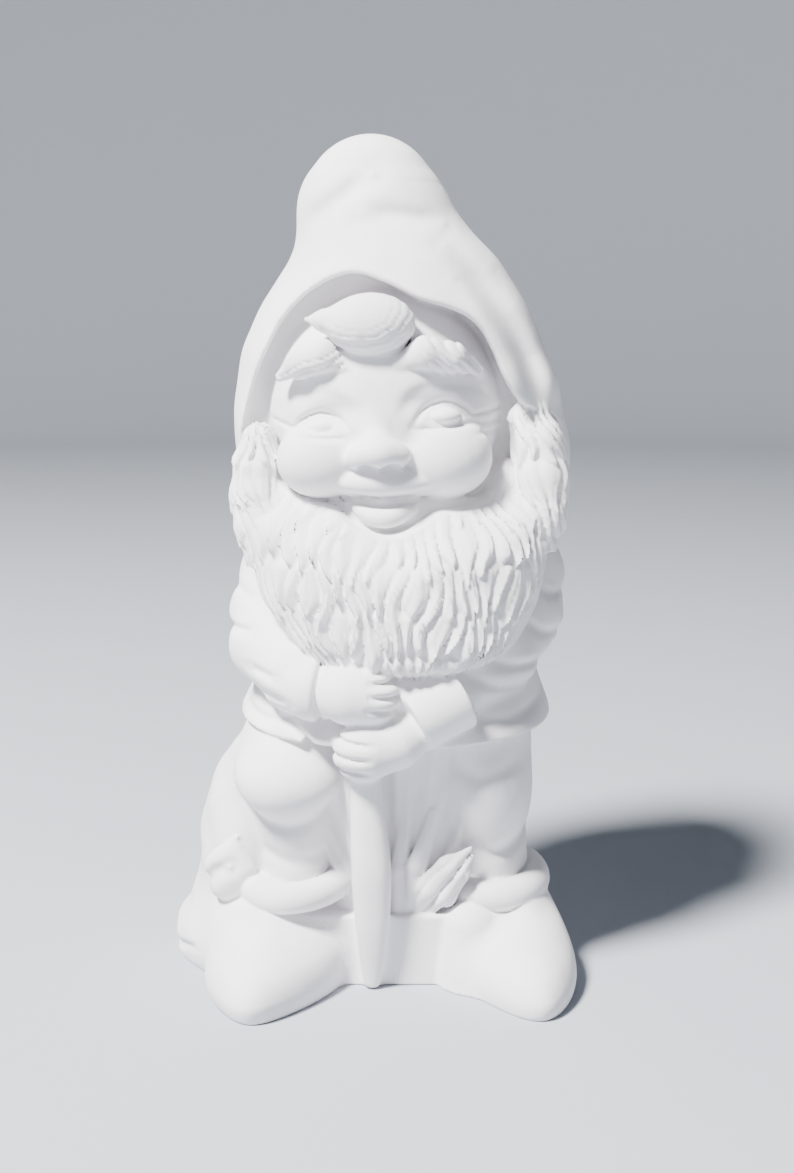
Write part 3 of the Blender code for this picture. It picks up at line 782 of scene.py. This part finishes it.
def clay(x, y, z, sizes):
    """The whole casting at points: its distance, and which form is nearest and by how much."""
    outside = np.full(x.shape, FAR)
    hollow = np.full(x.shape, FAR)
    nearest = np.full(x.shape, FAR)
    second = np.full(x.shape, FAR)
    owner = np.zeros(x.shape, np.uint8)
    for number, (node, form, fillet, is_hollow) in enumerate(FORMS, 1):
        low, high = clay_box(node, FORM_REACH)
        here = np.flatnonzero(
            (x > low[0]) & (x < high[0]) & (y > low[1]) & (y < high[1]) & (z > low[2]) & (z < high[2])
        )
        if not len(here):
            continue
        distance = form(x[here], y[here], z[here])
        outside[here] = smooth_min(outside[here], distance, fillet)
        if is_hollow:
            hollow[here] = np.minimum(hollow[here], distance)
        closer = distance < nearest[here]
        second[here] = np.where(closer, nearest[here], np.minimum(second[here], distance))
        nearest[here] = np.where(closer, distance, nearest[here])
        owner[here[closer]] = number
    # The cavity is the nearest hollow form, shrunk by the wall's thickness and kept above the plinth's floor.
    cavity = smooth_max(hollow + sizes.wall / SCALE, FLOOR_THICKNESS - z, 2.0)
    hole = drain_hole(x, y, z, sizes.hole_radius / SCALE)
    solid = smooth_max(outside, -smooth_min(cavity, hole, 1.0), 0.6)
    solid = smooth_max(solid, -z, 0.5)
    return solid, owner, second - nearest


# From the field of clay to meshes.


def sample(sizes, pitch):
    """The field on a grid: its origin, the distances, the owners (0 where there is no clay) and the margins.

    Blocks of the grid that are far from the clay are skipped, which a first pass over their middles finds."""
    low = np.array((CAD_BOX[0] - AXIS) / SCALE) - 6.0
    high = np.array((CAD_BOX[1] - AXIS) / SCALE) + 6.0
    block = 5
    blocks = np.ceil((high - low) / (pitch * block)).astype(int)
    shape = blocks * block
    value = np.full(shape, FAR, np.float32)
    owner = np.zeros(shape, np.uint8)
    margin = np.zeros(shape, np.float32)
    step = pitch * block
    corner = np.indices(blocks).reshape(3, -1)
    middles = low[:, None] + (corner + 0.5) * step
    half_diagonal, slack = 0.9 * step, 3.0
    near = clay(*middles, sizes)[0] < half_diagonal + slack
    corner = corner[:, near] * block
    offsets = np.indices((block,) * 3).reshape(3, -1)
    chunk = 6000
    for start in range(0, corner.shape[1], chunk):
        part = (corner[:, start : start + chunk, None] + offsets[:, None, :]).reshape(3, -1)
        where = tuple(part)
        solid, nearest, lead = clay(*(low[:, None] + part * pitch), sizes)
        value[where] = solid
        owner[where] = np.where(solid < 0.0, nearest, 0)
        margin[where] = lead
    return low, value, owner, margin


def surface_nets(value, owner, margin):
    """Vertices in grid steps, and quads with the owners in front of and behind each.

    Each grid edge whose ends have different owners is crossed by one quad, which joins the vertices of the
    four cells round that edge. A cell's vertex is the mean of the crossings on the clay's surface, or, where
    it has none, of those between two owners."""
    cells = tuple(n - 1 for n in owner.shape)
    total = np.zeros((2, 3, int(np.prod(cells))))
    count = np.zeros((2, int(np.prod(cells))))
    quads, backs, fronts = [], [], []
    for axis in range(3):
        first = np.moveaxis(owner, axis, 0)[:-1]
        last = np.moveaxis(owner, axis, 0)[1:]
        found = np.nonzero(first != last)
        place = np.empty((3, len(found[0])), int)
        others = [a for a in range(3) if a != axis]
        place[axis], place[others[0]], place[others[1]] = found
        beyond = place.copy()
        beyond[axis] += 1
        a, b = owner[tuple(place)], owner[tuple(beyond)]
        on_surface = (a == 0) | (b == 0)
        va, vb = value[tuple(place)].astype(float), value[tuple(beyond)].astype(float)
        ma, mb = margin[tuple(place)].astype(float), margin[tuple(beyond)].astype(float)
        share = np.where(on_surface, va / np.where(va == vb, 1.0, va - vb), ma / (ma + mb + 1e-9))
        point = place.astype(float)
        point[axis] += np.clip(share, 0.02, 0.98)
        u, v = (axis + 1) % 3, (axis + 2) % 3
        around = []
        for du, dv in ((0, 0), (-1, 0), (-1, -1), (0, -1)):
            cell = place.copy()
            cell[u] += du
            cell[v] += dv
            flat = np.ravel_multi_index(tuple(cell), cells, mode="clip")
            around.append(flat)
            for kind, chosen in ((0, on_surface), (1, ~on_surface)):
                count[kind] += np.bincount(flat[chosen], minlength=count.shape[1])
                for k in range(3):
                    total[kind, k] += np.bincount(flat[chosen], point[k, chosen], count.shape[1])
        quads.append(np.column_stack(around))
        backs.append(a)
        fronts.append(b)
    quads, backs, fronts = np.vstack(quads), np.concatenate(backs), np.concatenate(fronts)
    kind = (count[0] == 0).astype(int)
    used = np.flatnonzero(count.sum(0))
    renumber = np.zeros(count.shape[1], int)
    renumber[used] = np.arange(len(used))
    vertices = (total[kind[used], :, used] / count[kind[used], used][:, None]).T
    return vertices, renumber[quads], backs, fronts, kind[used] == 0


def settle(points, sizes, eps=0.3):
    """Moves points onto the surface along the field's slope, and returns them with the slope's direction.

    The slope comes from the field at the corners of a small tetrahedron."""
    corners = np.array([(1, 1, 1), (1, -1, -1), (-1, 1, -1), (-1, -1, 1)], float)

    def slope(at):
        return sum(c[:, None] * clay(*(at + eps * c[:, None]), sizes)[0] for c in corners) / (4 * eps)

    gradient = slope(points)
    steep = np.maximum((gradient**2).sum(0), 0.2)
    move = -clay(*points, sizes)[0] * gradient / steep
    furthest = 0.6
    points = points + np.clip(move, -furthest, furthest)
    gradient = slope(points)
    return points, gradient / (np.linalg.norm(gradient, axis=0) + 1e-9)


class Casting:
    """The sculpted clay, cut into one closed shell for each of the frame's nodes."""

    def __init__(self, sizes):
        pitch = sizes.pitch / SCALE * 1.0
        low, value, owner, margin = sample(sizes, pitch)
        vertices, self.quads, self.backs, self.fronts, outer = surface_nets(value, owner, margin)
        points = low[:, None] + vertices * pitch
        self.normals = np.zeros_like(points)
        points[:, outer], self.normals[:, outer] = settle(points[:, outer], sizes)
        self.points = points.T * SCALE + np.array(AXIS)
        self.normals = self.normals.T

    def shell(self, node):
        """The vertices, the quads that face out of the node's clay, and each corner's normal."""
        number = 1 + [form[0] for form in FORMS].index(node)
        ahead, behind = self.backs == number, self.fronts == number
        quads = np.vstack([self.quads[ahead], self.quads[behind][:, ::-1]])
        bare = np.concatenate([self.fronts[ahead] == 0, self.backs[behind] == 0])
        used, quads = np.unique(quads, return_inverse=True)
        quads = quads.reshape(-1, 4)
        points, normals = self.points[used], self.normals[used]
        corner = points[quads]
        across = np.cross(corner[:, 2] - corner[:, 0], corner[:, 3] - corner[:, 1])
        across /= np.linalg.norm(across, axis=1)[:, None] + 1e-12
        corners = np.where(bare[:, None, None], normals[quads], across[:, None, :])
        return points, quads, corners


_casting = {}


def casting():
    """The casting for the present sizes, made once."""
    sizes = bpy.context.scene.gnome_sizes
    key = tuple(getattr(sizes, name) for name in ("pitch", "wall", "hole_radius"))
    if key not in _casting:
        _casting.clear()
        _casting[key] = Casting(sizes)
    return _casting[key]


def make_piece(node):
    """One node's shell as an object that stands for it."""
    points, quads, corners = casting().shell(node)
    if not len(quads):
        raise RuntimeError(f"no clay belongs to {node}")
    mesh = bpy.data.meshes.new(node)
    mesh.vertices.add(len(points))
    mesh.vertices.foreach_set("co", points.ravel())
    mesh.loops.add(quads.size)
    mesh.loops.foreach_set("vertex_index", quads.ravel())
    mesh.polygons.add(len(quads))
    mesh.polygons.foreach_set("loop_start", np.arange(0, quads.size, 4))
    mesh.update(calc_edges=True)
    mesh.shade_smooth()
    mesh.normals_split_custom_set(corners.reshape(-1, 3))
    mesh.materials.append(bisque(bpy.context.scene.gnome_colours))
    piece = bpy.data.objects.new("clay_" + node, mesh)
    bpy.context.scene.collection.objects.link(piece)
    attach(piece, "root")
    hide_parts(node)
    return piece


# Materials.


def linear(code):
    """An sRGB hex colour as linear red, green, blue and alpha."""
    channels = [int(code[i : i + 2], 16) / 255 for i in (1, 3, 5)]
    return [c / 12.92 if c <= 0.04045 else ((c + 0.055) / 1.055) ** 2.4 for c in channels] + [1.0]


def add_node(tree, kind, inputs=(), **settings):
    """Adds a node, sets its properties, and gives each input a value or a link from another node's socket."""
    node = tree.nodes.new(kind)
    for name, value in settings.items():
        setattr(node, name, value)
    for name, value in dict(inputs).items():
        if isinstance(value, bpy.types.NodeSocket):
            tree.links.new(value, node.inputs[name])
        else:
            node.inputs[name].default_value = value
    return node


def new_material(name):
    """A material with an empty node tree, and the tree."""
    material = bpy.data.materials.new(name)
    material.use_nodes = True
    material.node_tree.nodes.clear()
    return material, material.node_tree


def bisque(colours):
    """White earthenware bisque, slip-cast and sponged: a chalky matt body with a fine open grain.

    Sponging leaves broad, very faint clouds of tone 30 mm apart and a ripple 4 mm apart. The grain shows as a
    soft tooth under a low light: the real one is under 0.1 mm, and is drawn at 0.6 mm so that it shows.
    Pinholes from air in the slip are a few tenths of a millimetre across, one to every 6 mm or so."""
    name = "slip_cast_bisque"
    if name in bpy.data.materials:
        return bpy.data.materials[name]
    material, tree = new_material(name)
    place = add_node(tree, "ShaderNodeTexCoord").outputs["Object"]
    clouds = add_node(
        tree, "ShaderNodeTexNoise", {"Vector": place, "Scale": 1 / 0.030, "Detail": 4.0, "Roughness": 0.55}
    )
    tone = add_node(tree, "ShaderNodeValToRGB", {"Fac": clouds.outputs["Fac"]})
    tone.color_ramp.elements[0].position = 0.35
    tone.color_ramp.elements[0].color = colours.shade
    tone.color_ramp.elements[1].position = 0.65
    tone.color_ramp.elements[1].color = colours.body
    grain = add_node(
        tree, "ShaderNodeTexNoise", {"Vector": place, "Scale": 1 / 0.0006, "Detail": 3.0, "Roughness": 0.6}
    )
    sponge = add_node(
        tree, "ShaderNodeTexNoise", {"Vector": place, "Scale": 1 / 0.004, "Detail": 3.0, "Roughness": 0.5}
    )
    pits = add_node(tree, "ShaderNodeTexVoronoi", {"Vector": place, "Scale": 1 / 0.006}, feature="F1")
    pit = add_node(
        tree,
        "ShaderNodeMapRange",
        {"Value": pits.outputs["Distance"], "From Min": 0.02, "From Max": 0.07, "To Min": 0.0, "To Max": 1.0},
        interpolation_type="SMOOTHSTEP",
    )
    bump = add_node(
        tree, "ShaderNodeBump", {"Height": grain.outputs["Fac"], "Strength": 0.35, "Distance": 0.00012}
    )
    bump = add_node(
        tree,
        "ShaderNodeBump",
        {
            "Height": sponge.outputs["Fac"],
            "Strength": 0.4,
            "Distance": 0.0003,
            "Normal": bump.outputs["Normal"],
        },
    )
    bump = add_node(
        tree,
        "ShaderNodeBump",
        {
            "Height": pit.outputs["Result"],
            "Strength": 0.5,
            "Distance": 0.0002,
            "Normal": bump.outputs["Normal"],
        },
    )
    rough = add_node(
        tree,
        "ShaderNodeMapRange",
        {"Value": sponge.outputs["Fac"], "From Min": 0.3, "From Max": 0.7, "To Min": 0.82, "To Max": 0.95},
    )
    shader = add_node(
        tree,
        "ShaderNodeBsdfPrincipled",
        {
            "Base Color": tone.outputs["Color"],
            "Roughness": rough.outputs["Result"],
            "Normal": bump.outputs["Normal"],
            "IOR": 1.5,
            "Specular IOR Level": 0.3,
        },
    )
    add_node(tree, "ShaderNodeOutputMaterial", {"Surface": shader.outputs["BSDF"]})
    return material


def studio_paper(colours):
    """Matt background paper: a wide even tone with no gloss."""
    material, tree = new_material("studio_paper")
    shader = add_node(tree, "ShaderNodeBsdfPrincipled", {"Base Color": colours.paper, "Roughness": 0.95})
    add_node(tree, "ShaderNodeOutputMaterial", {"Surface": shader.outputs["BSDF"]})
    return material


# Settings that a user would change.


class GnomeSizes(bpy.types.PropertyGroup):
    pitch: FloatProperty(
        name="Grid pitch", description="Spacing of the grid that the clay is sampled on",
        default=0.00095, min=0.0004, max=0.004, precision=5, unit="LENGTH",
    )
    wall: FloatProperty(
        name="Wall", description="Thickness of the casting's wall",
        default=0.005, min=0.002, max=0.02, precision=4, unit="LENGTH",
    )
    hole_radius: FloatProperty(
        name="Drain hole radius", description="Radius of the hole under the plinth",
        default=0.015, min=0.002, max=0.03, precision=4, unit="LENGTH",
    )


class GnomeColours(bpy.types.PropertyGroup):
    body: FloatVectorProperty(
        name="Body", description="Colour of the fired clay",
        default=linear("#EDEBEC"), size=4, min=0.0, max=1.0, subtype="COLOR",
    )
    shade: FloatVectorProperty(
        name="Shade", description="Colour of the faint clouds in the clay",
        default=linear("#E3E0E3"), size=4, min=0.0, max=1.0, subtype="COLOR",
    )
    paper: FloatVectorProperty(
        name="Paper", description="Colour of the floor and backdrop",
        default=linear("#A9AEB6"), size=4, min=0.0, max=1.0, subtype="COLOR",
    )


# Operators.


class PieceOperator:
    """What the operators share: each makes the pieces for its nodes."""

    bl_options = {"REGISTER", "UNDO"}
    nodes = ()

    def execute(self, context):
        for node in self.nodes:
            make_piece(node)
        return {"FINISHED"}


class GNOME_OT_head(PieceOperator, bpy.types.Operator):
    """Makes the hood, face, brows, forelock, side hair and beard"""

    bl_idname = "gnome.head"
    bl_label = "Head"
    nodes = (
        "hood", "face", "brow_right", "brow_left", "forelock", "side_hair_right", "side_hair_left", "beard",
    )


class GNOME_OT_arms(PieceOperator, bpy.types.Operator):
    """Makes the sleeves, the cuff, the fists and the stake they hold"""

    bl_idname = "gnome.arms"
    bl_label = "Arms and stake"
    nodes = ("sleeve_right", "sleeve_left", "cuff_left", "hand_right", "hand_left", "stake")


class GNOME_OT_clothes(PieceOperator, bpy.types.Operator):
    """Makes the jacket, the trousers and the walls between the legs"""

    bl_idname = "gnome.clothes"
    bl_label = "Clothes"
    nodes = ("jacket", "trouser_right", "trouser_left", "front_panel", "support_web")


class GNOME_OT_boots(PieceOperator, bpy.types.Operator):
    """Makes the boots and their rolled tops"""

    bl_idname = "gnome.boots"
    bl_label = "Boots"
    nodes = ("boot_right", "boot_left", "boot_cuff_right", "boot_cuff_left")


class GNOME_OT_ground(PieceOperator, bpy.types.Operator):
    """Makes the plinth, the mound, the leaves and the grass"""

    bl_idname = "gnome.ground"
    bl_label = "Ground and plants"
    nodes = ("plinth", "mound", "leaf_small", "leaf_large", "grass_blade_tall", "grass_blade_short")


class GNOME_OT_stage(bpy.types.Operator):
    """Makes the backdrop, the lights and the camera"""

    bl_idname = "gnome.stage"
    bl_label = "Stage"
    bl_options = {"REGISTER", "UNDO"}

    def execute(self, context):
        make_backdrop(context.scene.gnome_colours)
        make_lights()
        make_camera()
        return {"FINISHED"}


def make_backdrop(colours):
    """A turned bowl: level out to a radius, then a quarter circle, then an upright wall."""
    flat_radius, bend, wall_height, sides = 2.2, 0.9, 3.2, 128
    angle = np.linspace(-math.pi / 2, 0.0, 25)
    outer = flat_radius + bend
    radius = np.concatenate([[0.0, flat_radius / 2], flat_radius + bend * np.cos(angle), [outer]])
    height = np.concatenate([[0.0, 0.0], bend + bend * np.sin(angle), [wall_height]])
    turn = np.linspace(0.0, math.tau, sides, endpoint=False)
    x, y = radius[1:, None] * np.cos(turn), radius[1:, None] * np.sin(turn)
    z = np.broadcast_to(height[1:, None], x.shape)
    points = np.vstack([[0.0, 0.0, 0.0], np.column_stack([x.ravel(), y.ravel(), z.ravel()])])
    i, j = np.arange(len(radius) - 2)[:, None] * sides, np.arange(sides)
    after = (j + 1) % sides
    quads = np.stack([i + j, i + after, i + sides + after, i + sides + j], -1).reshape(-1, 4) + 1
    fan = np.column_stack([np.zeros(sides, int), after + 1, j + 1])
    mesh = bpy.data.meshes.new("backdrop")
    mesh.from_pydata(points.tolist(), [], fan.tolist() + quads.tolist())
    mesh.shade_smooth()
    mesh.materials.append(studio_paper(colours))
    backdrop = bpy.data.objects.new("backdrop", mesh)
    bpy.context.scene.collection.objects.link(backdrop)


def add_light(name, place, aim, size, power, colour):
    """A round lamp at a place, facing another, with its diameter in metres and its power in watts."""
    light = bpy.data.lights.new(name, "AREA")
    light.shape = "DISK"
    light.size = size
    light.energy = power
    light.color = colour
    holder = bpy.data.objects.new(name, light)
    holder.location = place
    holder.rotation_euler = (Vector(aim) - Vector(place)).to_track_quat("-Z", "Y").to_euler()
    bpy.context.scene.collection.objects.link(holder)


def make_lights():
    """A soft key from above on the viewer's left, a weak wide fill on the right, and a pale surround."""
    middle = (CAD_BOX[0] + CAD_BOX[1]) / 2
    add_light("key", (-0.85, -0.78, 1.75), middle, 0.42, 215.0, (1.0, 0.985, 0.965))
    add_light("fill", (1.4, -1.0, 0.7), middle, 1.2, 0.8, (0.95, 0.95, 1.0))
    world = bpy.data.worlds.new("surround")
    world.use_nodes = True
    background = world.node_tree.nodes["Background"]
    background.inputs["Color"].default_value = (0.92, 0.93, 1.0, 1.0)
    background.inputs["Strength"].default_value = 0.06
    bpy.context.scene.world = world


def make_camera():
    """The camera stands 600 mm in front of the figure's axis, above its eyes, and looks down."""
    camera = bpy.data.objects.new("camera", bpy.data.cameras.new("camera"))
    camera.data.lens = 52.6
    camera.data.sensor_width = 36.0
    camera.data.dof.use_dof = False
    distance, height, tilt = 600.0, 235.0, math.radians(9.62)
    camera.location = AXIS + Vector((0.0, -distance, height)) * SCALE
    camera.rotation_euler = (math.radians(90.0) - tilt, 0.0, 0.0)
    bpy.context.scene.collection.objects.link(camera)
    bpy.context.scene.camera = camera


class GNOME_PT_panel(bpy.types.Panel):
    """Lists the settings and the operators"""

    bl_idname = "GNOME_PT_panel"
    bl_label = "Gnome"
    bl_space_type = "VIEW_3D"
    bl_region_type = "UI"
    bl_category = "Gnome"

    def draw(self, context):
        for group in (context.scene.gnome_sizes, context.scene.gnome_colours):
            for name in group.bl_rna.properties.keys():
                if name not in ("rna_type", "name"):
                    self.layout.prop(group, name)
        for operator in OPERATORS:
            self.layout.operator(operator.bl_idname)


OPERATORS = (
    GNOME_OT_stage,
    GNOME_OT_head,
    GNOME_OT_arms,
    GNOME_OT_clothes,
    GNOME_OT_boots,
    GNOME_OT_ground,
)
CLASSES = (GnomeSizes, GnomeColours, *OPERATORS, GNOME_PT_panel)


def register():
    for cls in CLASSES:
        bpy.utils.register_class(cls)
    bpy.types.Scene.gnome_sizes = PointerProperty(type=GnomeSizes)
    bpy.types.Scene.gnome_colours = PointerProperty(type=GnomeColours)


def unregister():
    del bpy.types.Scene.gnome_colours
    del bpy.types.Scene.gnome_sizes
    for cls in reversed(CLASSES):
        bpy.utils.unregister_class(cls)


def main():
    register()
    bpy.ops.gnome.stage()
    bpy.ops.gnome.head()
    bpy.ops.gnome.arms()
    bpy.ops.gnome.clothes()
    bpy.ops.gnome.boots()
    bpy.ops.gnome.ground()


if __name__ == "__main__":
    main()
